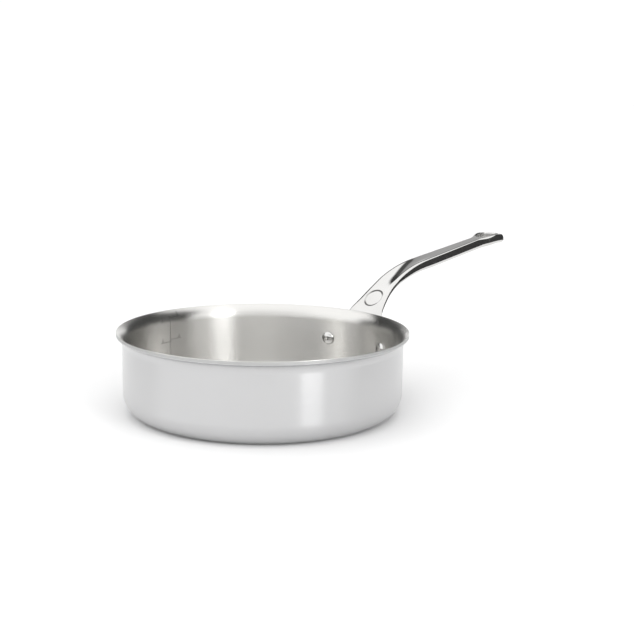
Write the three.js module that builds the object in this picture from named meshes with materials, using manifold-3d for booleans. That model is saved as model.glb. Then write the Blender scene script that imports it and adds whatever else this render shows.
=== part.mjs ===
// A straight-sided saute pan: five bonded sheet layers, one cast handle and the two rivets that hold it.
// Sizes are in millimetres. The pan's axis is Z, the base stands on z = 0 and the handle points along +X.

import * as THREE from 'three';
import { mergeVertices } from 'three/addons/utils/BufferGeometryUtils.js';
import Module from 'manifold-3d';

const wasm = await Module();
wasm.setup();

// Pan body
const insideDiameter = 244;
const panHeight = 73.5;
const cornerRadius = 19.5; // outside, where the wall turns into the base
const rimFlare = 5; // how far the lip stands out from the wall
const flareRadius = 11; // outside curve that carries the wall out to the lip

// Layers of the clad sheet, counted from the cooking surface outwards
const liningThickness = 0.5;
const bondThickness = 0.35;
const coreThickness = 1.1;
const skinThickness = 0.5;
const bondLine = 0.05; // left free between one layer and the next

// Rivets
const rivetSpacing = 72; // straight across, from axis to axis at the outside of the wall
const rivetDrop = 29.4; // from the rim down to the rivet axes
const shankDiameter = 6;
const innerHeadDiameter = 12.8;
const innerHeadHeight = 3.2;
const outerHeadDiameter = 10;
const outerHeadHeight = 1.6;

// Fits
const shankClearance = 0.3; // around the shank, in the sheet and in the foot
const seatClearance = 0.1; // under each rivet head
const footClearance = 0.3; // between the handle's foot and the wall

// Handle foot, the plate that lies on the wall
const footThickness = 4.5;
const earRadius = 10.5; // around each rivet
const footTopDrop = 15; // from the rim down to the foot's upper edge
const footArch = 2; // rise of the foot's lower edge between the ears

// Handle neck, grip and hanging loop
const handleReach = 209.5; // from the lip out to the tip
const neckSetback = 2.8; // from the foot's wall side out to the neck's upper face
const rootBend = 30; // curve that leads the neck out past the lip
const neckAngle = 48; // degrees above level
const neckBend = 122; // long curve from the neck into the grip
const gripAngle = 9.6;
const loopBend = 270; // curve that eases the loop towards level
const loopAngle = 1;
const neckHalfWidth = 26.4; // at the foot's upper edge
const neckFlareLength = 60; // along the handle, from the foot's upper edge to the grip's own width
const neckFlarePower = 1.75; // how quickly the flare dies away
const gripHalfWidth = 12.9; // where the grip leaves the neck
const waistHalfWidth = 10; // where the grip meets the loop
const gripThickness = 10.6;
const rootThickness = 1.4; // where the neck fades into the foot
const bluntness = 2.6; // of the round underside: 2 would be an ellipse, more is squarer
const loopHalfWidth = 15.2;
const loopSwellLength = 26; // over which the waist widens to the loop
const holeLength = 26.5;
const holeWidth = 20.5;
const holeToTip = 7.5;
const recessDiameter = 20.5;
const recessDepth = 0.7;
const recessFromBend = 11; // along the neck, from the end of the root bend

// Rounded edges of the handle's upper face: how far each reaches in from the side,
// and how far below the face it ends, where the handle is widest
const footEdge = 1;
const neckEdge = 5.6;
const gripEdge = 3.6;
const loopEdge = 4.5;
const neckShoulder = 1.2;
const gripShoulder = 5.2;

// Sizes that follow from those above
const sheetThickness = liningThickness + 2 * bondThickness + coreThickness + skinThickness;
const insideRadius = insideDiameter / 2;
const wallRadius = insideRadius + sheetThickness;
const rimRadius = wallRadius + rimFlare;
const lipAngle = Math.acos((flareRadius - rimFlare) / (flareRadius + sheetThickness));
const flareCentreHeight = panHeight - (flareRadius + sheetThickness) * Math.sin(lipAngle);
const rivetHeight = panHeight - rivetDrop;
const rivetAzimuth = Math.asin(rivetSpacing / 2 / wallRadius);
const footInnerRadius = wallRadius + footClearance;
const footOuterRadius = footInnerRadius + footThickness;
const footTopHeight = panHeight - footTopDrop;

// Facets
const turnSegments = 56;
const cornerSteps = 4;
const flareSteps = 3;
const rivetSegments = 24;
const facetSag = insideRadius * (1 - Math.cos(Math.PI / turnSegments));

const { degToRad: radians, smoothstep, mapLinear, clamp, lerp } = THREE.MathUtils;

function arcPoints(x, y, radius, from, to, steps) {
  const points = [];
  for (let i = 0; i <= steps; i++) {
    const angle = from + (to - from) * i / steps;
    points.push(new THREE.Vector2(x + radius * Math.cos(angle), y + radius * Math.sin(angle)));
  }
  return points;
}

// Turns a geometry into a solid that can be joined and cut.
function toSolid(geometry) {
  const bare = geometry.clone();
  bare.deleteAttribute('normal');
  bare.deleteAttribute('uv');
  const welded = mergeVertices(bare, 1e-4);
  const index = welded.index.array;
  const corners = [];
  for (let i = 0; i < index.length; i += 3) {
    const [a, b, c] = [index[i], index[i + 1], index[i + 2]];
    if (a !== b && b !== c && c !== a) {
      corners.push(a, b, c);
    }
  }
  const mesh = new wasm.Mesh({
    numProp: 3,
    vertProperties: new Float32Array(welded.attributes.position.array),
    triVerts: new Uint32Array(corners),
  });
  return new wasm.Manifold(mesh);
}

function toGeometry(solid) {
  const mesh = solid.getMesh();
  const geometry = new THREE.BufferGeometry();
  geometry.setAttribute('position', new THREE.BufferAttribute(new Float32Array(mesh.vertProperties), 3));
  geometry.setIndex(new THREE.BufferAttribute(new Uint32Array(mesh.triVerts), 1));
  geometry.computeVertexNormals();
  return geometry;
}

function spunAboutZ(profile) {
  return new THREE.LatheGeometry(profile, turnSegments).rotateX(Math.PI / 2);
}

// A round bar along the rivet's axis, used to drill the sheet and the foot.
function rivetDrill(side) {
  const radius = shankDiameter / 2 + shankClearance;
  const length = 4 * (sheetThickness + footClearance + footThickness);
  const drill = new THREE.CylinderGeometry(radius, radius, length, rivetSegments);
  drill.rotateZ(-Math.PI / 2);
  drill.translate(wallRadius, 0, 0);
  drill.rotateZ(side * rivetAzimuth);
  drill.translate(0, 0, rivetHeight);
  return toSolid(drill);
}

const drills = [1, -1].map(rivetDrill);

// Section of the sheet at a depth below the cooking surface, from the axis out to the lip.
function sheetContour(depth) {
  const below = sheetThickness - depth;
  const cornerCentre = wallRadius - cornerRadius;
  const flareCentre = wallRadius + flareRadius;
  const trimAngle = Math.acos((flareRadius - rimFlare) / (flareRadius + below));
  const corner = arcPoints(cornerCentre, cornerRadius, cornerRadius - below, -Math.PI / 2, 0, cornerSteps);
  const flare = arcPoints(
    flareCentre, flareCentreHeight, flareRadius + below, Math.PI, Math.PI - trimAngle, flareSteps,
  );
  return [new THREE.Vector2(0, below), ...corner, ...flare];
}

// One layer of the sheet. Each but the first starts a bond line clear of the layer inside it.
function sheetLayer(from, thickness) {
  const inside = sheetContour(from > 0 ? from + bondLine : from);
  const outside = sheetContour(from + thickness);
  let layer = toSolid(spunAboutZ([...outside, ...inside.reverse()]));
  for (const drill of drills) {
    layer = layer.subtract(drill);
  }
  return toGeometry(layer);
}

// Rivet: domed head inside the pan, shank through sheet and foot, low closed head outside.
function rivet(side) {
  const shankRadius = shankDiameter / 2;
  const innerHeadRadius = innerHeadDiameter / 2;
  const outerHeadRadius = outerHeadDiameter / 2;
  const wallCurve = innerHeadRadius ** 2 / (2 * insideRadius);
  const innerSeat = insideRadius - facetSag - wallCurve - seatClearance;
  const outerSeat = footOuterRadius + seatClearance;
  const domeCurve = (innerHeadRadius ** 2 + innerHeadHeight ** 2) / (2 * innerHeadHeight);
  const domeAngle = Math.asin(innerHeadRadius / domeCurve);
  const capCurve = (outerHeadRadius ** 2 + outerHeadHeight ** 2) / (2 * outerHeadHeight);
  const capAngle = Math.asin(outerHeadRadius / capCurve);
  const down = -Math.PI / 2;
  const up = Math.PI / 2;
  const dome = arcPoints(0, innerSeat - innerHeadHeight + domeCurve, domeCurve, down, down + domeAngle, 4);
  const cap = arcPoints(0, outerSeat + outerHeadHeight - capCurve, capCurve, up - capAngle, up, 3);
  const profile = [
    ...dome,
    new THREE.Vector2(shankRadius, innerSeat),
    new THREE.Vector2(shankRadius, outerSeat),
    ...cap,
  ];
  profile[0].x = 0;
  profile[profile.length - 1].x = 0;
  const geometry = new THREE.LatheGeometry(profile, rivetSegments);
  geometry.rotateZ(-Math.PI / 2);
  geometry.rotateZ(side * rivetAzimuth);
  geometry.translate(0, 0, rivetHeight);
  return geometry;
}

// Line of the handle's upper face in the XZ plane: a walk of straight lengths and bends to the right.
// Each part of the walk keeps the place, heading and distance at which it starts.
function handleLine() {
  const parts = [];
  let start = { x: footInnerRadius + neckSetback, z: rivetHeight, heading: Math.PI / 2, distance: 0 };

  function straight(length) {
    const { x, z, heading, distance } = start;
    parts.push({ ...start, curve: 0 });
    start = {
      x: x + length * Math.cos(heading),
      z: z + length * Math.sin(heading),
      heading,
      distance: distance + length,
    };
  }

  function bend(radius, toDegrees) {
    const { x, z, heading, distance } = start;
    const next = radians(toDegrees);
    parts.push({ ...start, curve: 1 / radius });
    start = {
      x: x + radius * (Math.sin(heading) - Math.sin(next)),
      z: z - radius * (Math.cos(heading) - Math.cos(next)),
      heading: next,
      distance: distance + radius * (heading - next),
    };
  }

  straight(footTopHeight - rivetHeight);
  bend(rootBend, neckAngle);
  bend(neckBend, gripAngle);
  const loopRun = loopBend * (Math.sin(radians(gripAngle)) - Math.sin(radians(loopAngle)));
  const gripRun = rimRadius + handleReach - loopRun - start.x;
  straight(gripRun / Math.cos(start.heading));
  bend(loopBend, loopAngle);
  return { parts, stops: [...parts.map((part) => part.distance), start.distance] };
}

const { parts: lineParts, stops } = handleLine();
const [, rootEnd, rootBendEnd, neckBendEnd, , tip] = stops;
const recessCentre = rootBendEnd + recessFromBend;
const holeCentre = tip - holeToTip - holeLength / 2;
const waist = holeCentre - loopSwellLength;

// Place and heading at a distance along the line.
function onLine(along) {
  const part = lineParts.findLast((candidate) => candidate.distance <= along);
  const run = along - part.distance;
  const heading = part.heading - run * part.curve;
  const chord = part.curve === 0 ? run : 2 * Math.sin(run * part.curve / 2) / part.curve;
  const chordHeading = (part.heading + heading) / 2;
  return {
    x: part.x + chord * Math.cos(chordHeading),
    z: part.z + chord * Math.sin(chordHeading),
    heading,
  };
}

// The rounded end runs from the middle of the hole, at 0, to the tip, at 1.
function shareOfEnd(along) {
  return Math.max(0, (along - holeCentre) / (tip - holeCentre));
}

// Half of the handle's width at a distance along its line, before the end is rounded.
function halfWidthAt(along) {
  const flare = Math.max(0, 1 - (along - rootEnd) / neckFlareLength) ** neckFlarePower;
  const toWaist = clamp(mapLinear(along, neckBendEnd, waist, 0, 1), 0, 1);
  const toLoop = smoothstep(along, waist, holeCentre);
  return gripHalfWidth
    + (neckHalfWidth - gripHalfWidth) * flare
    + (waistHalfWidth - gripHalfWidth) * toWaist
    + (loopHalfWidth - waistHalfWidth) * toLoop;
}

function thicknessAt(along) {
  return lerp(rootThickness, gripThickness, smoothstep(along, 0, neckBendEnd + 15));
}

function edgeWidthAt(along) {
  const neck = lerp(footEdge, neckEdge, smoothstep(along, rootEnd, recessCentre));
  const grip = lerp(neck, gripEdge, smoothstep(along, recessCentre, neckBendEnd));
  return lerp(grip, loopEdge, smoothstep(along, waist, holeCentre));
}

function shoulderDepthAt(along) {
  const depth = lerp(neckShoulder, gripShoulder, smoothstep(along, recessCentre, neckBendEnd));
  return Math.min(depth, thicknessAt(along) / 2);
}

// Section across the handle, as sideways and upward distances: a flat face, an elliptical edge on
// each side and a round underside. At the foot the section bows to lie along the wall, and towards
// the tip it rounds up to nothing.
function handleSection(along) {
  const end = shareOfEnd(along);
  const narrowing = Math.sqrt(Math.max(0, 1 - end ** 2));
  const half = halfWidthAt(along);
  const shoulder = shoulderDepthAt(along);
  const belly = thicknessAt(along) - shoulder;
  const face = 1 - edgeWidthAt(along) / half;
  const bow = (1 - smoothstep(along, rootEnd, recessCentre)) / (2 * footInnerRadius);
  const points = [];

  function outward(side) {
    return Math.min(1, Math.hypot(end, side * narrowing));
  }

  function add(side, height) {
    const sideways = side * half * narrowing;
    points.push(new THREE.Vector2(sideways, height + bow * sideways ** 2));
  }

  function addUpper(side) {
    const share = Math.max(0, outward(side) - face) / (1 - face);
    add(side, -shoulder * (1 - Math.sqrt(1 - share ** 2)));
  }

  function addLower(side) {
    add(side, -shoulder - belly * (1 - outward(side) ** bluntness) ** (1 / bluntness));
  }

  const edge = [1, 2, 3].map((step) => face + (1 - face) * Math.sin(Math.PI / 6 * step));
  const underside = [0.95, 0.78, 0.55, 0.28];
  const rightToLeft = [...edge.toReversed(), face, 0, -face, ...edge.map((side) => -side)];
  rightToLeft.forEach(addUpper);
  [...underside.map((side) => -side), 0, ...underside.toReversed()].forEach(addLower);
  return points;
}

function handleStations() {
  const bounds = [0, rootEnd, rootBendEnd, neckBendEnd, waist, holeCentre];
  const counts = [2, 4, 9, 3, 6];
  const stations = [];
  counts.forEach((count, part) => {
    for (let i = 0; i < count; i++) {
      stations.push(bounds[part] + (bounds[part + 1] - bounds[part]) * i / count);
    }
  });
  const endSteps = 7;
  for (let i = 0; i <= endSteps; i++) {
    stations.push(holeCentre + (tip - holeCentre) * Math.sin(Math.PI / 2 * i / endSteps));
  }
  return stations;
}

// Neck, grip and loop: sections carried along the line and skinned.
function handleBar() {
  const stations = handleStations();
  const positions = [];
  const corners = [];
  let ring = [];
  for (const along of stations) {
    const { x, z, heading } = onLine(along);
    ring = handleSection(along);
    for (const point of ring) {
      positions.push(x - point.y * Math.sin(heading), point.x, z + point.y * Math.cos(heading));
    }
  }
  const count = ring.length;
  for (let s = 0; s < stations.length - 1; s++) {
    for (let i = 0; i < count; i++) {
      const a = s * count + i;
      const b = s * count + (i + 1) % count;
      corners.push(a, b, b + count, a, b + count, a + count);
    }
  }
  for (const [a, b, c] of THREE.ShapeUtils.triangulateShape(handleSection(0), [])) {
    corners.push(a, c, b);
  }
  const geometry = new THREE.BufferGeometry();
  geometry.setAttribute('position', new THREE.Float32BufferAttribute(positions, 3));
  geometry.setIndex(corners);
  return toSolid(geometry);
}

// Foot: a ring that lies on the wall, trimmed to an outline with an ear around each rivet.
function handleFoot() {
  const bottom = rivetHeight - 2 * earRadius;
  const ring = spunAboutZ([
    new THREE.Vector2(footInnerRadius, bottom),
    new THREE.Vector2(footOuterRadius, bottom),
    new THREE.Vector2(footOuterRadius, footTopHeight),
    new THREE.Vector2(footInnerRadius, footTopHeight),
    new THREE.Vector2(footInnerRadius, bottom),
  ]);
  const earCentre = footOuterRadius * Math.sin(rivetAzimuth);
  const earLeave = radians(65);
  const earSide = earCentre + earRadius * Math.cos(earLeave);
  const earTop = rivetHeight + earRadius * Math.sin(earLeave);
  const earBottom = rivetHeight - earRadius;
  const neckHalf = halfWidthAt(rootEnd);
  const outline = new THREE.Shape();
  outline.moveTo(neckHalf, footTopHeight + footThickness);
  outline.lineTo(-neckHalf, footTopHeight + footThickness);
  outline.quadraticCurveTo(-neckHalf, rivetHeight + earRadius, -earSide, earTop);
  outline.absarc(-earCentre, rivetHeight, earRadius, Math.PI - earLeave, Math.PI * 1.5, false);
  outline.quadraticCurveTo(0, earBottom + 2 * footArch, earCentre, earBottom);
  outline.absarc(earCentre, rivetHeight, earRadius, -Math.PI / 2, earLeave, false);
  outline.quadraticCurveTo(neckHalf, rivetHeight + earRadius, neckHalf, footTopHeight + footThickness);
  const prism = new THREE.ExtrudeGeometry(outline, {
    depth: footOuterRadius, steps: 1, curveSegments: 8, bevelEnabled: false,
  });
  prism.rotateX(Math.PI / 2);
  prism.rotateZ(Math.PI / 2);
  return toSolid(ring).intersect(toSolid(prism));
}

function hangingHole() {
  const outline = new THREE.Shape();
  outline.absellipse(0, 0, holeLength / 2, holeWidth / 2, 0, 2 * Math.PI, false);
  const { x, z, heading } = onLine(holeCentre);
  const cutter = new THREE.ExtrudeGeometry(outline, {
    depth: 6 * gripThickness, steps: 1, curveSegments: 28, bevelEnabled: false,
  });
  cutter.translate(0, 0, -3 * gripThickness);
  cutter.rotateY(-heading);
  cutter.translate(x, 0, z);
  return toSolid(cutter);
}

// A bare round recess in the neck's upper face.
function neckRecess() {
  const { x, z, heading } = onLine(recessCentre);
  const height = 2 * recessDepth;
  const cutter = new THREE.CylinderGeometry(recessDiameter / 2, recessDiameter / 2, height, 32);
  cutter.rotateX(Math.PI / 2);
  cutter.rotateY(-heading);
  cutter.translate(x, 0, z);
  return toSolid(cutter);
}

function handle() {
  let solid = handleBar().add(handleFoot());
  solid = solid.subtract(hangingHole()).subtract(neckRecess());
  for (const drill of drills) {
    solid = solid.subtract(drill);
  }
  return toGeometry(solid);
}

const satinInside = new THREE.MeshStandardMaterial({ color: 0xc3bcb1, roughness: 0.3, metalness: 1 });
const brushedOutside = new THREE.MeshStandardMaterial({ color: 0xcfcdd0, roughness: 0.38, metalness: 1 });
const aluminium = new THREE.MeshStandardMaterial({ color: 0xd4d6d8, roughness: 0.5, metalness: 1 });
const polished = new THREE.MeshStandardMaterial({ color: 0xc9c8c6, roughness: 0.08, metalness: 1 });

const pan = new THREE.Group();
pan.name = 'saute_pan';

function place(name, geometry, material) {
  const piece = new THREE.Mesh(geometry, material);
  piece.name = name;
  pan.add(piece);
}

const layers = [
  ['cooking_lining', liningThickness, satinInside],
  ['upper_bond_layer', bondThickness, aluminium],
  ['heat_core', coreThickness, aluminium],
  ['lower_bond_layer', bondThickness, aluminium],
  ['outer_skin', skinThickness, brushedOutside],
];
let depth = 0;
for (const [name, thickness, material] of layers) {
  place(name, sheetLayer(depth, thickness), material);
  depth += thickness;
}
place('handle', handle(), polished);
place('rivet_left', rivet(1), polished);
place('rivet_right', rivet(-1), polished);

export default pan;
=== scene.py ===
import math

import bpy
from mathutils import Matrix, Vector


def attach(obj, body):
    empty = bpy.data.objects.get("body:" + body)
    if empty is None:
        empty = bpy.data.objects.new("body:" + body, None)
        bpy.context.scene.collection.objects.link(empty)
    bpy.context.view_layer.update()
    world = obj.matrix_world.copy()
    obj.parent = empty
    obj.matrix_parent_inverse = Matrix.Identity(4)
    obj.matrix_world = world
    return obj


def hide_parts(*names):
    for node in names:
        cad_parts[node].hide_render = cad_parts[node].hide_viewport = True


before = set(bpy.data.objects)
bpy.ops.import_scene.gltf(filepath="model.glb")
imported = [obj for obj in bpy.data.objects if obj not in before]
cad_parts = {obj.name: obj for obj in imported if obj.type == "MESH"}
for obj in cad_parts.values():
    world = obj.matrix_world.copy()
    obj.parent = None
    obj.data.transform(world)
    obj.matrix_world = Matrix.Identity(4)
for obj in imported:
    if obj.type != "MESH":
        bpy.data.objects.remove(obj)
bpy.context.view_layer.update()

# Sizes of the pan in millimetres, as in its CAD model
INSIDE_RADIUS = 122
PAN_HEIGHT = 73.5
CORNER_RADIUS = 19.5
RIM_FLARE = 5
FLARE_RADIUS = 11
LINING = 0.5
BOND = 0.35
CORE = 1.1
SKIN = 0.5
BOND_LINE = 0.05
SHEET = LINING + BOND + CORE + BOND + SKIN
WALL_RADIUS = INSIDE_RADIUS + SHEET
RIM_RADIUS = WALL_RADIUS + RIM_FLARE
LIP_ANGLE = math.acos((FLARE_RADIUS - RIM_FLARE) / (FLARE_RADIUS + SHEET))
FLARE_CENTRE_HEIGHT = PAN_HEIGHT - (FLARE_RADIUS + SHEET) * math.sin(LIP_ANGLE)

# Rounding of the lip's edges, which the CAD model leaves out
LIP_ROUND = 0.35

# Rivets
RIVET_BELOW_LIP = 29.4
RIVET_HALF_SPACING = 36
RIVET_HEIGHT = PAN_HEIGHT - RIVET_BELOW_LIP
RIVET_AZIMUTH = math.asin(RIVET_HALF_SPACING / WALL_RADIUS)
SHANK_RADIUS = 3
INNER_HEAD_RADIUS = 6.4
INNER_HEAD_HEIGHT = 3.2
OUTER_HEAD_RADIUS = 5
OUTER_HEAD_HEIGHT = 1.6
INNER_HEAD_EDGE = 0.3
OUTER_HEAD_EDGE = 0.2
HEAD_CHAMFER = 0.1
SEAT_CLEARANCE = 0.1

# Foot and line of the handle, whose form is a little finer here than in the CAD model
FOOT_CLEARANCE = 0.3
FOOT_BELOW_LIP = 15
FOOT_RADIUS = WALL_RADIUS + FOOT_CLEARANCE
FOOT_THICKNESS = 4.5
FOOT_TOP = PAN_HEIGHT - FOOT_BELOW_LIP
FOOT_ARCH = 2
EAR_RADIUS = 10.5
EAR_END_ANGLE = math.radians(65)
NECK_SETBACK = 2.8
ROOT_BEND = 30
NECK_ANGLE = math.radians(48.6)
NECK_BEND = 122
GRIP_ANGLE = math.radians(9.15)
LOOP_BEND = 270
LOOP_ANGLE = math.radians(0.5)
HANDLE_REACH = 208.3

# Handle section
NECK_HALF_WIDTH = 26.4
NECK_FLARE_LENGTH = 60
NECK_FLARE_POWER = 1.75
GRIP_HALF_WIDTH = 12.9
WAIST_HALF_WIDTH = 10
LOOP_HALF_WIDTH = 15
LOOP_SWELL_LENGTH = 22
LOOP_RISE = 1
ARM_RISE_LENGTH = 14
ARM_CREST_LENGTH = 2
ARM_END_TO_TIP = 3
END_LENGTH = 18
END_POWER = 2.5
GRIP_THICKNESS = 10.6
ROOT_THICKNESS = FOOT_THICKNESS - NECK_SETBACK
THICKENING_PAST_BEND = 15
BLUNTNESS = 2.6
FOOT_BLUNTNESS = 9
FOOT_FACE_BELOW = 8
FOOT_FACE_ABOVE = 6
FOOT_EDGE = 1
NECK_EDGE = 4.4
GRIP_EDGE = 3.4
LOOP_EDGE = 2.4
NECK_EDGE_POWER = 3.5
GRIP_EDGE_POWER = 3
LOOP_EDGE_POWER = 2
NECK_SHOULDER = 2
GRIP_SHOULDER = 5.5
NECK_OVERHANG = 1
GRIP_LEAN = 2.2
LOOP_LEAN = 0.9
DISH_DEPTH = 0.65
DISH_START = 8
DISH_FULL = 34
DISH_FADE_BEFORE = 12
DISH_FADE_AFTER = 25
HOLE_LENGTH = 26.5
HOLE_WIDTH = 20.5
HOLE_TO_TIP = 6.3
HOLE_EDGE = 1.2
HOLE_CUT_MARGIN = 4
RECESS_RADIUS = 10.25
RECESS_DEPTH = 0.7
RECESS_FROM_BEND = 11
RECESS_CUT_HEIGHT = 2
RECESS_FLOOR_INSET = 0.4
RECESS_CUT_SPREAD = 1.4

# Volume scale inside the wall
SCALE_AZIMUTH = math.radians(95.4)
SCALE_LINE_HEIGHT = 38
SCALE_LINE_LENGTH = 60
SCALE_LINE_WIDTH = 0.45
TICK_LENGTH = 13
TICK_WIDTH = 0.4
NUMBER_SIZE = 4.4
NUMBER_RISE = 0.9
NUMBER_REACH = 1.6
RIGHT_MARKS = (("2", 46.3), ("3", 67.7))
LEFT_MARKS = (("2", 44.0), ("3", 64.2))
MARK_RELIEF = 0.02

# Metres in a millimetre, and how finely forms are joined, shaded and turned
MM = 0.001
WELD_DISTANCE = 0.004
SHARP_ANGLE = math.radians(35)
SHEET_STEPS = 192
RIVET_STEPS = 48
ROUND_STEPS = 96


def smooth(value, start, end):
    """0 up to start, 1 from end on, smooth between."""
    share = min(1, max(0, (value - start) / (end - start)))
    return share * share * (3 - 2 * share)


# Modelling

def new_piece(name, add_primitive, **settings):
    """Adds one primitive with nothing else selected and gives it a plain name."""
    bpy.ops.object.select_all(action="DESELECT")
    add_primitive(**settings)
    piece = bpy.context.object
    piece.name = name
    piece.data.name = name
    return piece


def close_mesh():
    """In edit mode: joins meeting points, fills what is left open and turns all faces outwards."""
    bpy.ops.mesh.select_all(action="SELECT")
    bpy.ops.mesh.remove_doubles(threshold=WELD_DISTANCE * MM)
    bpy.ops.mesh.fill_holes(sides=0)
    bpy.ops.mesh.select_all(action="SELECT")
    bpy.ops.mesh.normals_make_consistent(inside=False)


def spun_piece(name, outline, axis, centre, steps):
    """Draws an outline point by point, in millimetres, and spins it once round the axis."""
    piece = new_piece(name, bpy.ops.mesh.primitive_plane_add, size=MM)
    bpy.ops.object.mode_set(mode="EDIT")
    bpy.ops.mesh.select_all(action="SELECT")
    bpy.ops.mesh.merge(type="CENTER")
    bpy.ops.transform.translate(value=outline[0] * MM)
    for start, end in zip(outline, outline[1:]):
        bpy.ops.mesh.extrude_region_move(TRANSFORM_OT_translate={"value": (end - start) * MM})
    bpy.ops.mesh.select_all(action="SELECT")
    bpy.ops.mesh.spin(steps=steps, angle=math.tau, axis=axis, center=centre * MM)
    close_mesh()
    bpy.ops.object.mode_set(mode="OBJECT")
    return piece


def rolled_piece(name, columns, rows, place):
    """Rolls a grid into a tube and fills its ends. place(column, row) is a point in millimetres."""
    piece = new_piece(
        name, bpy.ops.mesh.primitive_grid_add,
        x_subdivisions=columns - 1, y_subdivisions=rows, size=1,
    )
    for vertex in piece.data.vertices:
        column = round((vertex.co.x + 0.5) * (columns - 1))
        row = round((vertex.co.y + 0.5) * rows) % rows
        vertex.co = place(column, row) * MM
    bpy.ops.object.mode_set(mode="EDIT")
    close_mesh()
    bpy.ops.object.mode_set(mode="OBJECT")
    return piece


def apply_modifier(piece, kind, **settings):
    modifier = piece.modifiers.new(kind.title(), kind)
    for setting, value in settings.items():
        setattr(modifier, setting, value)
    bpy.ops.object.select_all(action="DESELECT")
    bpy.context.view_layer.objects.active = piece
    piece.select_set(True)
    bpy.ops.object.modifier_apply(modifier=modifier.name)


def cut(piece, cutter):
    apply_modifier(piece, "BOOLEAN", object=cutter, operation="DIFFERENCE", solver="EXACT")
    bpy.data.objects.remove(cutter)


def finish_piece(piece, material, nodes=()):
    """Smooths the shading, gives the finish and ties the piece to the frame."""
    bpy.ops.object.select_all(action="DESELECT")
    bpy.context.view_layer.objects.active = piece
    piece.select_set(True)
    bpy.ops.object.shade_smooth_by_angle(angle=SHARP_ANGLE)
    piece.data.materials.clear()
    piece.data.materials.append(material)
    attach(piece, "root")
    for node in nodes:
        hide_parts(node)


# Shader maths

class Wire:
    """A shader socket that can be used in sums. Each operation adds a Math node."""

    def __init__(self, tree, socket):
        self.tree = tree
        self.socket = socket

    def math(self, operation, *values):
        return add_node(self.tree, "ShaderNodeMath", {"operation": operation}, values).out()

    def __add__(self, other):
        return self.math("ADD", self, other)

    def __radd__(self, other):
        return self.math("ADD", other, self)

    def __sub__(self, other):
        return self.math("SUBTRACT", self, other)

    def __rsub__(self, other):
        return self.math("SUBTRACT", other, self)

    def __mul__(self, other):
        return self.math("MULTIPLY", self, other)

    def __rmul__(self, other):
        return self.math("MULTIPLY", other, self)

    def __truediv__(self, other):
        return self.math("DIVIDE", self, other)

    def __rtruediv__(self, other):
        return self.math("DIVIDE", other, self)

    def root(self):
        return self.math("SQRT", self)

    def rise(self, start, end):
        """0 below start, 1 above end, smooth between."""
        settings = {"interpolation_type": "SMOOTHSTEP"}
        inputs = {"Value": self, "From Min": start, "From Max": end}
        return add_node(self.tree, "ShaderNodeMapRange", settings, inputs).out()

    def blend(self, low, high):
        """Goes from one colour to another as this value goes from 0 to 1."""
        inputs = {0: self, 6: low, 7: high}
        return add_node(self.tree, "ShaderNodeMix", {"data_type": "RGBA"}, inputs).out(2)


class Node:
    """A node that has been added, with its outputs as wires."""

    def __init__(self, tree, node):
        self.tree = tree
        self.node = node

    def out(self, name=0):
        return Wire(self.tree, self.node.outputs[name])


def add_node(tree, kind, settings, inputs):
    """Adds any node: first its settings, then the values or wires of its sockets."""
    node = tree.nodes.new(kind)
    for setting, value in settings.items():
        if setting == "stops":
            set_stops(node.color_ramp, value)
        else:
            setattr(node, setting, value)
    pairs = inputs.items() if isinstance(inputs, dict) else enumerate(inputs)
    for name, value in pairs:
        if isinstance(value, Wire):
            tree.links.new(value.socket, node.inputs[name])
        else:
            node.inputs[name].default_value = value
    return Node(tree, node)


def set_stops(ramp, stops):
    while len(ramp.elements) > 1:
        ramp.elements.remove(ramp.elements[-1])
    ramp.elements[0].position, ramp.elements[0].color = stops[0]
    for position, colour in stops[1:]:
        ramp.elements.new(position).color = colour


def grey(value):
    return (value, value, value, 1)


class Finish:
    """A material that is being built: its node tree, and where on the pan a point lies."""

    def __init__(self, name):
        self.material = bpy.data.materials.new(name)
        self.material.use_nodes = True
        self.tree = self.material.node_tree
        self.shader = self.tree.nodes["Principled BSDF"]
        self.place = self.node("ShaderNodeTexCoord").out("Object")
        split = self.node("ShaderNodeSeparateXYZ", Vector=self.place)
        self.x = split.out("X")
        self.y = split.out("Y")
        self.z = split.out("Z")

    def node(self, kind, settings=None, **inputs):
        return add_node(self.tree, kind, settings or {}, inputs)

    def vector(self, x, y, z):
        return self.node("ShaderNodeCombineXYZ", X=x, Y=y, Z=z).out()

    def noise(self, vector, scale, detail=2.0):
        settings = {"noise_dimensions": "3D"}
        texture = self.node("ShaderNodeTexNoise", settings, Vector=vector, Scale=scale, Detail=detail)
        return texture.out()

    def metal(self, colour, roughness, height, relief, **constants):
        """Sets a metal of varying colour and roughness. Height times relief, in metres, is its bump."""
        bump = self.node("ShaderNodeBump", Height=height, Strength=1.0, Distance=relief)
        inputs = {"Base Color": colour, "Roughness": roughness, "Normal": bump.out()}
        for name, value in inputs.items():
            self.tree.links.new(value.socket, self.shader.inputs[name])
        self.shader.inputs["Metallic"].default_value = 1
        for name, value in constants.items():
            self.shader.inputs[name.replace("_", " ")].default_value = value
        return self.material


# Turns the spread of reflections across the brushed lines
QUARTER_TURN = 0.25


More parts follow.
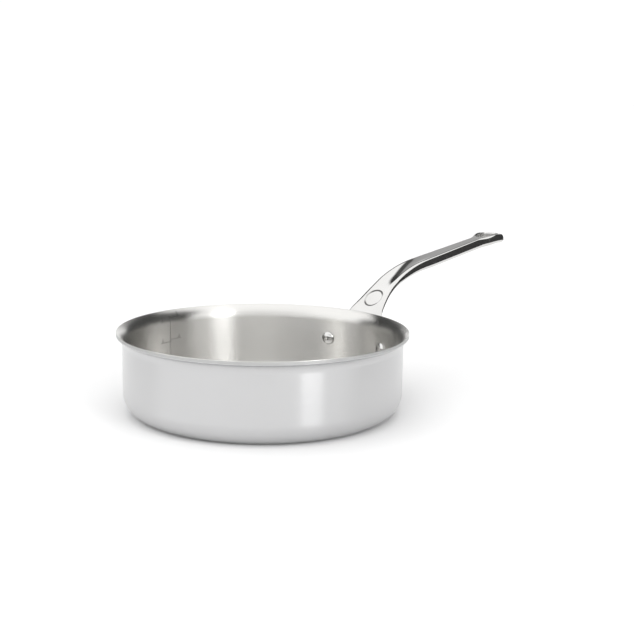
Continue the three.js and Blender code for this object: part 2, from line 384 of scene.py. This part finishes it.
def turned_steel(name, dark, light, roughness, spread, anisotropy, relief):
    """Steel brushed round the pan's axis, in fine lines and with slow patches."""
    finish = Finish(name)
    radius = (finish.x * finish.x + finish.y * finish.y).root()
    lay = radius + finish.z
    coarse = finish.noise(finish.vector(finish.x * 0.02, finish.y * 0.02, lay), 1500.0)
    fine = finish.noise(finish.vector(finish.x * 0.008, finish.y * 0.008, lay), 5200.0, 1.0)
    grooves = finish.noise(finish.vector(finish.x * 0.002, finish.y * 0.002, lay), 16000.0, 0.0)
    patches = finish.noise(finish.place, 9.0, 3.0)
    lines = coarse * 0.5 + fine * 0.5
    colour = (lines * 0.7 + patches * 0.3).blend(dark, light)
    rough = roughness + (lines - 0.5) * spread + (patches - 0.5) * spread
    return finish.metal(
        colour, rough, grooves, relief, Anisotropic=anisotropy, Anisotropic_Rotation=QUARTER_TURN,
    )


def bare_aluminium():
    """Cut edge of the layers between the two steels: a little matt, with fine lines round the rim."""
    finish = Finish("bare_aluminium")
    lines = finish.noise(finish.vector(finish.x * 0.02, finish.y * 0.02, finish.z), 4000.0)
    patches = finish.noise(finish.place, 60.0)
    colour = patches.blend((0.47, 0.47, 0.47, 1), (0.58, 0.58, 0.575, 1))
    return finish.metal(colour, 0.34 + lines * 0.14, lines, 0.000012)


def polished_steel():
    """Mirror polish with the faint wipe marks and fine hairlines of a handled casting, and a ring of
    painted shade at the foot of the neck recess.
    """
    finish = Finish("polished_steel")
    smudges = finish.noise(finish.place, 38.0, 4.0)
    hairlines = finish.noise(finish.vector(finish.x * 0.05, finish.y, finish.z), 2600.0)
    bright = smudges.blend((0.60, 0.595, 0.585, 1), (0.70, 0.695, 0.685, 1))
    # Painted shade: a near-black ring at the foot of the recess wall stands in for its dark
    # reflections, and it makes that ring rougher too.
    corner = recess_painted_shade(finish)
    colour = (corner * 0.85).blend(bright, (0.05, 0.05, 0.048, 1))
    marks = smudges.rise(0.42, 0.75) * 0.05 + hairlines * 0.02
    rough = 0.045 + marks + corner * 0.25 + hole_wall(finish) * 0.2
    return finish.metal(colour, rough, hairlines, 0.000001)


def run_along_handle(finish, centre):
    """How far a point lies along the handle from a place on its line, in metres."""
    x, z, heading = LINE.at(centre)
    return (finish.x - x * MM) * math.cos(heading) + (finish.z - z * MM) * math.sin(heading)


def recess_painted_shade(finish):
    """1 in a ring of painted shade at the foot of the neck recess's wall, strongest at its ends along
    the handle, and 0 elsewhere.
    """
    along = run_along_handle(finish, LINE.recess_centre)
    radius = (along * along + finish.y * finish.y).root()
    inner = radius.rise((RECESS_RADIUS - 2) * MM, (RECESS_RADIUS - 1.2) * MM)
    outer = radius.rise((RECESS_RADIUS - 0.1) * MM, (RECESS_RADIUS + 0.3) * MM)
    ends = (along * along / (radius * radius)).rise(0.1, 0.6)
    return (inner - outer) * (ends * 0.8 + 0.2)


def hole_wall(finish):
    """1 inside the hanging hole, which is less polished, and 0 on the rest of the handle."""
    lengthways = run_along_handle(finish, LINE.hole_centre) / (HOLE_LENGTH / 2 * MM)
    sideways = finish.y / (HOLE_WIDTH / 2 * MM)
    return 1 - (lengthways * lengthways + sideways * sideways).root().rise(1.02, 1.16)


def etched_mark():
    """Dark matt etching, a little worn."""
    finish = Finish("etched_mark")
    worn = finish.noise(finish.place, 900.0, 3.0)
    colour = worn.blend((0.05, 0.05, 0.05, 1), (0.16, 0.155, 0.15, 1))
    return finish.metal(colour, 0.4 + worn * 0.2, worn, 0.000005)


# Sheet layers

def arc(x, z, radius, start, end, steps):
    """Points of an arc in the XZ plane, from one angle to another."""
    points = []
    for step in range(steps + 1):
        angle = start + (end - start) * step / steps
        points.append(Vector((x + radius * math.cos(angle), 0, z + radius * math.sin(angle))))
    return points


def sheet_contour(depth):
    """The sheet's section at a depth below the cooking surface, from the axis out to the lip."""
    below = SHEET - depth
    trim = math.acos((FLARE_RADIUS - RIM_FLARE) / (FLARE_RADIUS + below))
    corner_centre = WALL_RADIUS - CORNER_RADIUS
    corner = arc(corner_centre, CORNER_RADIUS, CORNER_RADIUS - below, -math.pi / 2, 0, 14)
    flare_centre = WALL_RADIUS + FLARE_RADIUS
    flare_end = math.pi - trim
    flare = arc(flare_centre, FLARE_CENTRE_HEIGHT, FLARE_RADIUS + below, math.pi, flare_end, 12)
    return [Vector((0, 0, below)), *corner, *flare]


def rounded_lip(contour, to_edge, radius):
    """Replaces the last point by a small curve that turns from the contour into the cut edge."""
    corner = contour[-1]
    inward = (contour[-2] - corner).normalized() * radius
    along_edge = to_edge * radius
    curve = []
    for share in (0, 0.25, 0.5, 0.75, 1):
        curve.append(corner + inward * (1 - share) ** 2 + along_edge * share ** 2)
    return [*contour[:-1], *curve]


def sheet_layer(name, start, thickness):
    """One layer of the sheet, that starts at a depth below the cooking surface."""
    inside = sheet_contour(start + BOND_LINE if start > 0 else start)
    outside = sheet_contour(start + thickness)
    if name == "cooking_lining":
        inside = rounded_lip(inside, Vector((0, 0, -1)), LIP_ROUND)
    if name == "outer_skin":
        outside = rounded_lip(outside, Vector((0, 0, 1)), LIP_ROUND)
    outline = [*outside, *reversed(inside)]
    return spun_piece(name + "_sheet", outline, (0, 0, 1), Vector((0, 0, 0)), SHEET_STEPS)


# Rivets

def rivet(name, side):
    """A domed head inside the wall, a shank through wall and foot, and a closed end outside."""
    azimuth = side * RIVET_AZIMUTH
    axis = Vector((math.cos(azimuth), math.sin(azimuth), 0))
    wall_bow = INNER_HEAD_RADIUS ** 2 / (2 * INSIDE_RADIUS)
    inner_seat = INSIDE_RADIUS - wall_bow - SEAT_CLEARANCE
    outer_seat = FOOT_RADIUS + FOOT_THICKNESS + SEAT_CLEARANCE
    quarter = [math.pi / 2 * step / 10 for step in range(11)]
    profile = []
    for angle in quarter:
        dome = (INNER_HEAD_HEIGHT - INNER_HEAD_EDGE) * math.cos(angle)
        profile.append((INNER_HEAD_RADIUS * math.sin(angle), inner_seat - INNER_HEAD_EDGE - dome))
    profile.append((INNER_HEAD_RADIUS - HEAD_CHAMFER, inner_seat))
    profile.append((SHANK_RADIUS, inner_seat))
    profile.append((SHANK_RADIUS, outer_seat))
    profile.append((OUTER_HEAD_RADIUS - HEAD_CHAMFER, outer_seat))
    for angle in quarter:
        dome = (OUTER_HEAD_HEIGHT - OUTER_HEAD_EDGE) * math.sin(angle)
        profile.append((OUTER_HEAD_RADIUS * math.cos(angle), outer_seat + OUTER_HEAD_EDGE + dome))
    outline = [axis * along + Vector((0, 0, RIVET_HEIGHT + radius)) for radius, along in profile]
    return spun_piece(name + "_turned", outline, axis, Vector((0, 0, RIVET_HEIGHT)), RIVET_STEPS)


# Handle

class HandleLine:
    """Line of the handle's upper face in the XZ plane, made of straight lengths and bends."""

    def __init__(self):
        self.parts = []
        self.x = FOOT_RADIUS + NECK_SETBACK
        self.z = RIVET_HEIGHT
        self.heading = math.pi / 2
        self.distance = 0
        self.root_end = self.straight(FOOT_TOP - RIVET_HEIGHT)
        self.root_bend_end = self.bend(ROOT_BEND, NECK_ANGLE)
        self.recess_centre = self.root_bend_end + RECESS_FROM_BEND
        self.neck_bend_end = self.bend(NECK_BEND, GRIP_ANGLE)
        loop_run = LOOP_BEND * (math.sin(GRIP_ANGLE) - math.sin(LOOP_ANGLE))
        grip_run = RIM_RADIUS + HANDLE_REACH - loop_run - self.x
        self.straight(grip_run / math.cos(self.heading))
        self.tip = self.bend(LOOP_BEND, LOOP_ANGLE)
        self.hole_centre = self.tip - HOLE_TO_TIP - HOLE_LENGTH / 2
        self.waist = self.hole_centre - LOOP_SWELL_LENGTH

    def straight(self, length):
        self.parts.append((self.distance, self.x, self.z, self.heading, 0))
        self.x += length * math.cos(self.heading)
        self.z += length * math.sin(self.heading)
        self.distance += length
        return self.distance

    def bend(self, radius, heading):
        self.parts.append((self.distance, self.x, self.z, self.heading, 1 / radius))
        self.x += radius * (math.sin(self.heading) - math.sin(heading))
        self.z -= radius * (math.cos(self.heading) - math.cos(heading))
        self.distance += radius * (self.heading - heading)
        self.heading = heading
        return self.distance

    def at(self, along):
        """Place and heading at a distance along the line, which runs straight on below its start."""
        started = [part for part in self.parts if part[0] <= along] or self.parts[:1]
        distance, x, z, heading, curve = started[-1]
        run = along - distance
        turned = run * curve
        chord = 2 * math.sin(turned / 2) / curve if curve else run
        chord_heading = heading - turned / 2
        place_x = x + chord * math.cos(chord_heading)
        place_z = z + chord * math.sin(chord_heading)
        return place_x, place_z, heading - turned


LINE = HandleLine()
EAR_STEPS = 20
FILLET_STEPS = 16
TIP_STEPS = 36
FACE_STEPS = 20
EDGE_STEPS = 14
BELLY_STEPS = 44


def on_handle(along, sideways, height):
    """A point given along, across and square to the handle's upper face."""
    x, z, heading = LINE.at(along)
    return Vector((x - height * math.sin(heading), sideways, z + height * math.cos(heading)))


def share_of_end(along):
    """0 where the blunt rounded end begins and 1 at the tip."""
    return min(1, max(0, 1 - (LINE.tip - along) / END_LENGTH))


def out_from_middle(end, sideways):
    """1 on the outline of the blunt rounded end, from shares along it and across it."""
    return (end ** END_POWER + abs(sideways) ** END_POWER) ** (1 / END_POWER)


def bar_half_width(along):
    flare = max(0, 1 - (along - LINE.root_end) / NECK_FLARE_LENGTH) ** NECK_FLARE_POWER
    to_waist = min(1, max(0, (along - LINE.neck_bend_end) / (LINE.waist - LINE.neck_bend_end)))
    to_loop = smooth(along, LINE.waist, LINE.hole_centre)
    return (
        GRIP_HALF_WIDTH
        + (NECK_HALF_WIDTH - GRIP_HALF_WIDTH) * flare
        + (WAIST_HALF_WIDTH - GRIP_HALF_WIDTH) * to_waist
        + (LOOP_HALF_WIDTH - WAIST_HALF_WIDTH) * to_loop
    )


def thickness(along):
    onto_grip = smooth(along, 0, LINE.neck_bend_end + THICKENING_PAST_BEND)
    return ROOT_THICKNESS + (GRIP_THICKNESS - ROOT_THICKNESS) * onto_grip


def along_handle(along, neck, grip, loop):
    """Eases a size from its value on the neck to the ones on the grip and the loop."""
    onto_grip = smooth(along, LINE.recess_centre, LINE.neck_bend_end)
    onto_loop = smooth(along, LINE.waist, LINE.hole_centre)
    value = neck + (grip - neck) * onto_grip
    return value + (loop - value) * onto_loop


def edge_width(along):
    """How far the rounded edge reaches in from the side."""
    neck = FOOT_EDGE + (NECK_EDGE - FOOT_EDGE) * smooth(along, LINE.root_end, LINE.recess_centre)
    return along_handle(along, neck, GRIP_EDGE, LOOP_EDGE)


def edge_power(along):
    """How square the rounded edge is: 2 is an ellipse, and more is flatter with a tighter corner."""
    return along_handle(along, NECK_EDGE_POWER, GRIP_EDGE_POWER, LOOP_EDGE_POWER)


def side_lean(along):
    """How far the side leans in from its widest line up to the face. The neck's edges overhang."""
    return along_handle(along, -NECK_OVERHANG, GRIP_LEAN, LOOP_LEAN)


def loop_rise(along):
    """How far the arms beside the hanging hole stand above the line of the upper face."""
    onto_arms = smooth(along, LINE.hole_centre - ARM_RISE_LENGTH, LINE.hole_centre)
    onto_tip = smooth(along, LINE.hole_centre + ARM_CREST_LENGTH, LINE.tip - ARM_END_TO_TIP)
    return LOOP_RISE * onto_arms * (1 - onto_tip)


def shoulder_depth(along):
    """How far below the upper face the handle is widest."""
    depth = along_handle(along, NECK_SHOULDER, GRIP_SHOULDER, GRIP_SHOULDER)
    return min(depth, thickness(along) / 2)


def foot_stations():
    """Distances along the line and half widths of the foot, from its lower edge up to the neck."""
    stations = []
    ear_centre = (FOOT_RADIUS + FOOT_THICKNESS) * math.sin(RIVET_AZIMUTH)
    for step in range(EAR_STEPS + 1):
        angle = -math.pi / 2 + (math.pi / 2 + EAR_END_ANGLE) * step / EAR_STEPS
        stations.append((EAR_RADIUS * math.sin(angle), ear_centre + EAR_RADIUS * math.cos(angle)))
    start_along, start_half = stations[-1]
    neck_along = FOOT_TOP - RIVET_HEIGHT + FOOT_THICKNESS
    neck_half = bar_half_width(neck_along)
    for step in range(1, FILLET_STEPS + 1):
        share = step / FILLET_STEPS
        rest = 1 - share
        along = rest ** 2 * start_along + 2 * rest * share * EAR_RADIUS + share ** 2 * neck_along
        half = rest ** 2 * start_half + 2 * rest * share * neck_half + share ** 2 * neck_half
        stations.append((along, half))
    return stations


def bar_stations(start):
    """Distances along the line and half widths of neck, grip and loop."""
    stations = []
    bounds = (start, LINE.root_bend_end, LINE.neck_bend_end, LINE.waist, LINE.hole_centre)
    counts = (16, 50, 28, 24)
    for first, last, count in zip(bounds, bounds[1:], counts):
        for step in range(1, count + 1):
            along = first + (last - first) * step / count
            stations.append((along, bar_half_width(along)))
    for step in range(1, TIP_STEPS + 1):
        share = math.sin(math.pi / 2 * step / TIP_STEPS)
        along = LINE.hole_centre + (LINE.tip - LINE.hole_centre) * share
        stations.append((along, bar_half_width(along)))
    return stations


def section(along, half):
    """Points round the handle, as distances sideways and up: dished face, round edges and belly."""
    end = share_of_end(along)
    narrowing = (1 - end ** END_POWER) ** (1 / END_POWER)
    thick = thickness(along)
    shoulder = shoulder_depth(along)
    face = 1 - edge_width(along) / half
    power = edge_power(along)
    lean = side_lean(along)
    foot_share = 1 - smooth(along, LINE.root_end - FOOT_FACE_BELOW, LINE.root_end + FOOT_FACE_ABOVE)
    raised = NECK_SETBACK * foot_share
    bow_share = 1 - smooth(along, LINE.root_end, LINE.recess_centre)
    onto_dish = smooth(along, LINE.recess_centre + DISH_START, LINE.recess_centre + DISH_FULL)
    fade_start = LINE.neck_bend_end - DISH_FADE_BEFORE
    off_dish = smooth(along, fade_start, LINE.neck_bend_end + DISH_FADE_AFTER)
    dish = DISH_DEPTH * onto_dish * (1 - off_dish)
    bluntness = BLUNTNESS + (FOOT_BLUNTNESS - BLUNTNESS) * (1 - smooth(along, 0, LINE.recess_centre))

    def outward(side):
        return min(1, out_from_middle(end, side * narrowing))

    def upper(side):
        out = outward(side)
        if out <= face:
            return -dish * (1 - (out / face) ** 2)
        share = min(1, (out - face) / (1 - face))
        return -shoulder * (1 - (1 - share ** power) ** (1 / power))

    def lower(side):
        return -shoulder - (thick - shoulder) * (1 - outward(side) ** bluntness) ** (1 / bluntness)

    sides = [1 - 2 * step / FACE_STEPS for step in range(FACE_STEPS + 1)]
    quarter = [math.pi / 2 * step / EDGE_STEPS for step in range(1, EDGE_STEPS + 1)]
    turns = [math.sin(angle) ** (2 / power) for angle in quarter]
    points = [(side * face, upper(side * face)) for side in sides]
    points += [(-face - (1 - face) * turn, upper(face + (1 - face) * turn)) for turn in turns]
    for step in range(1, BELLY_STEPS):
        angle = math.pi * step / BELLY_STEPS
        across = math.cos(angle)
        side = -math.copysign(abs(across) ** (2 / bluntness), across)
        points.append((side, lower(side)))
    points += [(face + (1 - face) * turn, upper(face + (1 - face) * turn)) for turn in reversed(turns)]

    placed = []
    for side, height in points:
        inset = lean * max(0, 1 + min(0, height) / shoulder) * min(1, abs(side) / face)
        sideways = (side * half - math.copysign(inset, side)) * narrowing
        bow = FOOT_RADIUS - math.sqrt(FOOT_RADIUS ** 2 - sideways ** 2)
        lift = raised if height > -shoulder / 2 else 0
        placed.append((sideways, height + lift + bow * bow_share + loop_rise(along)))
    return placed


def handle_body():
    foot = foot_stations()
    stations = foot + bar_stations(foot[-1][0])
    sections = [section(along, half) for along, half in stations]

    def place(column, row):
        along = stations[column][0]
        sideways, height = sections[column][row]
        arch = max(0, 1 - (sideways / foot[0][1]) ** 2) * FOOT_ARCH
        lifted = along + arch * (1 - smooth(along, -EAR_RADIUS, 0))
        return on_handle(lifted, sideways, height)

    return rolled_piece("cast_handle", len(stations), len(sections[0]), place)


def hole_cutter():
    """A spool that leaves the hanging hole with rounded edges above and below."""
    turns = [math.radians(angle) for angle in range(80, -1, -10)]
    levels = [(math.sin(turn), math.cos(turn)) for turn in turns]
    columns = 2 * len(levels) + 2

    def place(column, row):
        angle = math.tau * row / ROUND_STEPS
        upper = column < columns / 2
        level = min(column, columns - 1 - column)
        climb, spread = levels[max(0, level - 1)]
        flare = HOLE_EDGE * (1 - spread)
        along = LINE.hole_centre + (HOLE_LENGTH / 2 + flare) * math.cos(angle)
        sideways = (HOLE_WIDTH / 2 + flare) * math.sin(angle)
        out = out_from_middle(share_of_end(along), sideways / bar_half_width(along))
        shoulder = shoulder_depth(along)
        belly_depth = thickness(along) - shoulder
        belly = -shoulder - belly_depth * (1 - min(1, out) ** BLUNTNESS) ** (1 / BLUNTNESS)
        rise = HOLE_EDGE * (climb - 1)
        if level == 0:
            rise = HOLE_CUT_MARGIN
        height = rise if upper else belly - rise
        return on_handle(along, sideways, height + loop_rise(along))

    return rolled_piece("hole_cutter", columns, ROUND_STEPS, place)


def recess_cutter():
    """A cone that leaves the round recess on the neck with a sloped wall."""
    x, z, heading = LINE.at(LINE.recess_centre)
    turn = Matrix.Rotation(-heading, 4, "Y")
    middle = RECESS_CUT_HEIGHT / 2 - RECESS_DEPTH
    centre = Vector((x, 0, z)) + turn @ Vector((0, 0, middle))
    cutter = new_piece(
        "recess_cutter", bpy.ops.mesh.primitive_cone_add, vertices=ROUND_STEPS,
        radius1=(RECESS_RADIUS - RECESS_FLOOR_INSET) * MM,
        radius2=(RECESS_RADIUS + RECESS_CUT_SPREAD) * MM,
        depth=RECESS_CUT_HEIGHT * MM,
    )
    cutter.data.transform(Matrix.Translation(centre * MM) @ turn)
    return cutter


# Volume scale

def wrap_on_wall(piece, azimuth, height):
    """Lays a flat piece, drawn in X and Y, on the inside of the wall and its flare."""
    flare = FLARE_RADIUS + SHEET
    for vertex in piece.data.vertices:
        angle = azimuth - vertex.co.x / MM / INSIDE_RADIUS
        level = height + vertex.co.y / MM
        climb = max(0, level - FLARE_CENTRE_HEIGHT)
        radius = INSIDE_RADIUS + flare - math.sqrt(flare ** 2 - climb ** 2) - MARK_RELIEF
        vertex.co = Vector((radius * math.cos(angle), radius * math.sin(angle), level)) * MM


def scale_stroke(name, azimuth, height, across, upward):
    """A straight mark, in faces of about a millimetre so that it can follow the wall."""
    stroke = new_piece(
        name, bpy.ops.mesh.primitive_grid_add,
        x_subdivisions=math.ceil(across), y_subdivisions=math.ceil(upward), size=1,
    )
    stroke.data.transform(Matrix.Diagonal((across * MM, upward * MM, 1, 1)))
    wrap_on_wall(stroke, azimuth, height)
    return stroke


def scale_number(text, azimuth, height):
    bpy.ops.object.select_all(action="DESELECT")
    bpy.ops.object.text_add()
    number = bpy.context.object
    number.data.body = text
    number.data.size = NUMBER_SIZE * MM
    number.data.align_x = "CENTER"
    bpy.ops.object.convert(target="MESH")
    number = bpy.context.object
    bpy.ops.object.mode_set(mode="EDIT")
    bpy.ops.mesh.select_all(action="SELECT")
    bpy.ops.mesh.subdivide(number_cuts=3)
    bpy.ops.object.mode_set(mode="OBJECT")
    wrap_on_wall(number, azimuth, height)
    return number


def volume_scale():
    """An upright line with ticks and plain numbers on both sides, joined to one piece."""
    line = scale_stroke(
        "volume_scale", SCALE_AZIMUTH, SCALE_LINE_HEIGHT, SCALE_LINE_WIDTH, SCALE_LINE_LENGTH,
    )
    strokes = [line]
    reach = TICK_LENGTH / 2 / INSIDE_RADIUS
    for side, marks in ((-1, RIGHT_MARKS), (1, LEFT_MARKS)):
        tick_azimuth = SCALE_AZIMUTH + side * reach
        number_azimuth = SCALE_AZIMUTH + side * NUMBER_REACH * reach
        for text, height in marks:
            strokes.append(scale_stroke("tick", tick_azimuth, height, TICK_LENGTH, TICK_WIDTH))
            strokes.append(scale_number(text, number_azimuth, height + NUMBER_RISE))
    bpy.ops.object.select_all(action="DESELECT")
    for stroke in strokes:
        stroke.select_set(True)
    bpy.context.view_layer.objects.active = line
    bpy.ops.object.join()
    return line


# Pieces

satin_inside = turned_steel(
    "satin_inside", dark=(0.67, 0.663, 0.645, 1), light=(0.78, 0.772, 0.752, 1),
    roughness=0.25, spread=0.05, anisotropy=1.0, relief=0.000012,
)
brushed_outside = turned_steel(
    "brushed_outside", dark=(0.55, 0.55, 0.553, 1), light=(0.65, 0.65, 0.654, 1),
    roughness=0.23, spread=0.06, anisotropy=0.95, relief=0.000002,
)
aluminium = bare_aluminium()
polished = polished_steel()

layer_start = 0
for layer, layer_thickness, material, slot in (
    ("cooking_lining", LINING, satin_inside, "satin_steel"),
    ("upper_bond_layer", BOND, aluminium, "aluminium"),
    ("heat_core", CORE, aluminium, "aluminium"),
    ("lower_bond_layer", BOND, aluminium, "aluminium"),
    ("outer_skin", SKIN, brushed_outside, "brushed_steel"),
):
    sheet = sheet_layer(layer, layer_start, layer_thickness)
    finish_piece(sheet, material, [layer])
    layer_start += layer_thickness

cast_handle = handle_body()
cut(cast_handle, hole_cutter())
cut(cast_handle, recess_cutter())
finish_piece(cast_handle, polished, ["handle"])

for rivet_name, rivet_side in (("rivet_left", 1), ("rivet_right", -1)):
    finish_piece(rivet(rivet_name, rivet_side), polished, [rivet_name])

finish_piece(volume_scale(), etched_mark())


# Stage: floor, light and camera

PHOTO_TURN = math.radians(41.63)
INTO_FRAME = Matrix.Rotation(-PHOTO_TURN, 4, "Z")
FLOOR_SIZE = 120
STUDIO_DARK = 0.06
CEILING_GLOW = 1.35

# Brightness of the studio's walls by degrees round the pan: 0 is behind it and 90 to its right
WALL_LEVELS = (
    (-180, 1.15), (-150, 1.25), (-130, 1.45), (-115, 1.35), (-84, 1.3), (-72, STUDIO_DARK),
    (102, STUDIO_DARK), (114, 1.3), (130, 1.4), (150, 1.25), (180, 1.15),
)

# Brightness of the backdrop by how steeply one looks up at it, from 0 level to 1 straight up
BACKDROP_LEVELS = ((0.0, 1.05), (0.18, 1.0), (0.30, 0.50), (0.49, 0.42), (0.54, 0.1), (1.0, 0.1))


def pale_floor():
    floor = new_piece("floor", bpy.ops.mesh.primitive_plane_add, size=FLOOR_SIZE)
    finish = Finish("pale_floor")
    cloud = finish.noise(finish.place, 3.0, 2.0)
    colour = cloud.blend(grey(0.93), grey(0.95))
    finish.tree.links.new(colour.socket, finish.shader.inputs["Base Color"])
    finish.shader.inputs["Roughness"].default_value = 0.9
    finish.shader.inputs["Specular IOR Level"].default_value = 0
    floor.data.materials.append(finish.material)


def grey_ramp(tree, levels, value):
    """A grey that follows the value through pairs of position and brightness."""
    stops = [(position, grey(level)) for position, level in levels]
    return add_node(tree, "ShaderNodeValToRGB", {"stops": stops}, [value]).out()


def studio_walls(tree, azimuth, climb):
    """Bright walls to the left and in front, dimmer low down at the right and high up in front."""
    # Low down, the left wall's edge lies ten degrees nearer the front
    low = 1 - climb.rise(0.25, 0.45)
    turned_in = azimuth + low * (azimuth * -1).rise(20, 60) * 10
    levels = [(0.5 + angle / 360, level) for angle, level in WALL_LEVELS]
    walls = grey_ramp(tree, levels, turned_in / 360 + 0.5)
    near_right = azimuth.rise(80, 100) * (1 - azimuth.rise(125, 150))
    in_front = azimuth.math("ABSOLUTE", azimuth).rise(110, 140)
    walls = walls * (1 - near_right * (1 - climb.rise(0.05, 0.3)) * 0.4)
    return walls * (1 - in_front * climb.rise(0.12, 0.35) * 0.2)


def studio_world():
    """A dark studio with bright walls, a pale backdrop behind the pan and a light above it."""
    world = bpy.data.worlds.new("studio")
    world.use_nodes = True
    tree = world.node_tree
    direction = add_node(tree, "ShaderNodeTexCoord", {}, {}).out("Generated")
    inputs = {"Vector": direction, "Rotation": (0, 0, PHOTO_TURN)}
    turned = add_node(tree, "ShaderNodeMapping", {"vector_type": "POINT"}, inputs).out()
    split = add_node(tree, "ShaderNodeSeparateXYZ", {}, [turned])
    right = split.out("X")
    climb = split.out("Z")
    azimuth = right.math("ARCTAN2", right, split.out("Y")) * (180 / math.pi)
    walls = studio_walls(tree, azimuth, climb)
    backdrop = grey_ramp(tree, BACKDROP_LEVELS, climb)
    behind = azimuth.rise(-18, -13.5) * (1 - azimuth.rise(19, 24))
    tilt = right.rise(0.3, 0.8) * 0.28 - (right * -1).rise(0.5, 0.8) * 0.2
    above = (climb - tilt).rise(0.64, 0.70)
    glow = above.blend(behind.blend(walls, backdrop), grey(CEILING_GLOW))
    tree.links.new(glow.socket, tree.nodes["Background"].inputs["Color"])
    bpy.context.scene.world = world


def dark_card():
    """A dark board to the right, out of view, that only mirroring metal shows."""
    size = 0.77
    place = (0.65, 0.215, 0.415)
    card = new_piece("dark_card", bpy.ops.mesh.primitive_plane_add, size=1)
    stand = Matrix.Translation(place) @ Matrix.Rotation(math.pi / 2, 4, "Y")
    card.data.transform(INTO_FRAME @ stand @ Matrix.Diagonal((size, size, 1, 1)))
    finish = Finish("dark_card")
    finish.shader.inputs["Base Color"].default_value = grey(STUDIO_DARK)
    finish.shader.inputs["Roughness"].default_value = 1
    finish.shader.inputs["Specular IOR Level"].default_value = 0
    card.data.materials.append(finish.material)
    card.visible_camera = False
    card.visible_diffuse = False
    card.visible_shadow = False


def strip_light():
    """A tall narrow light, far off in front to the right, that makes the stripes on the walls."""
    place = Vector((2.46, -3.15, 1.9))
    data = bpy.data.lights.new("strip", "AREA")
    data.shape = "RECTANGLE"
    data.size = 1.2
    data.size_y = 3.8
    data.energy = 40
    light = bpy.data.objects.new("strip", data)
    bpy.context.scene.collection.objects.link(light)
    level_aim = Vector((-place.x, -place.y, 0))
    facing = level_aim.to_track_quat("-Z", "Y").to_matrix().to_4x4()
    light.matrix_world = INTO_FRAME @ Matrix.Translation(place) @ facing
    light.visible_camera = False


def ceiling_light():
    """A wide even light from above that the metal doesn't mirror."""
    data = bpy.data.lights.new("ceiling", "SUN")
    data.energy = 0.4
    data.angle = math.radians(100)
    light = bpy.data.objects.new("ceiling", data)
    bpy.context.scene.collection.objects.link(light)
    light.visible_glossy = False


def studio_camera():
    """The photo's own view, as fitted to the pan's outlines."""
    place = (0, -1.018, 0.2786)
    pitch = math.radians(10.77115)
    yaw = math.radians(2.678245)
    roll = math.radians(0.806149)
    focal_length_pixels = 1162.42
    image_width_pixels = 634
    data = bpy.data.cameras.new("camera")
    data.sensor_width = 36
    data.lens = data.sensor_width * focal_length_pixels / image_width_pixels
    camera = bpy.data.objects.new("camera", data)
    bpy.context.scene.collection.objects.link(camera)
    tipped = Matrix.Rotation(math.pi / 2 - pitch, 4, "X") @ Matrix.Rotation(roll, 4, "Z")
    turn = Matrix.Rotation(-yaw, 4, "Z") @ tipped
    camera.matrix_world = INTO_FRAME @ Matrix.Translation(place) @ turn
    bpy.context.scene.camera = camera


pale_floor()
studio_world()
ceiling_light()
dark_card()
strip_light()
studio_camera()
bpy.context.scene.view_settings.view_transform = "Standard"
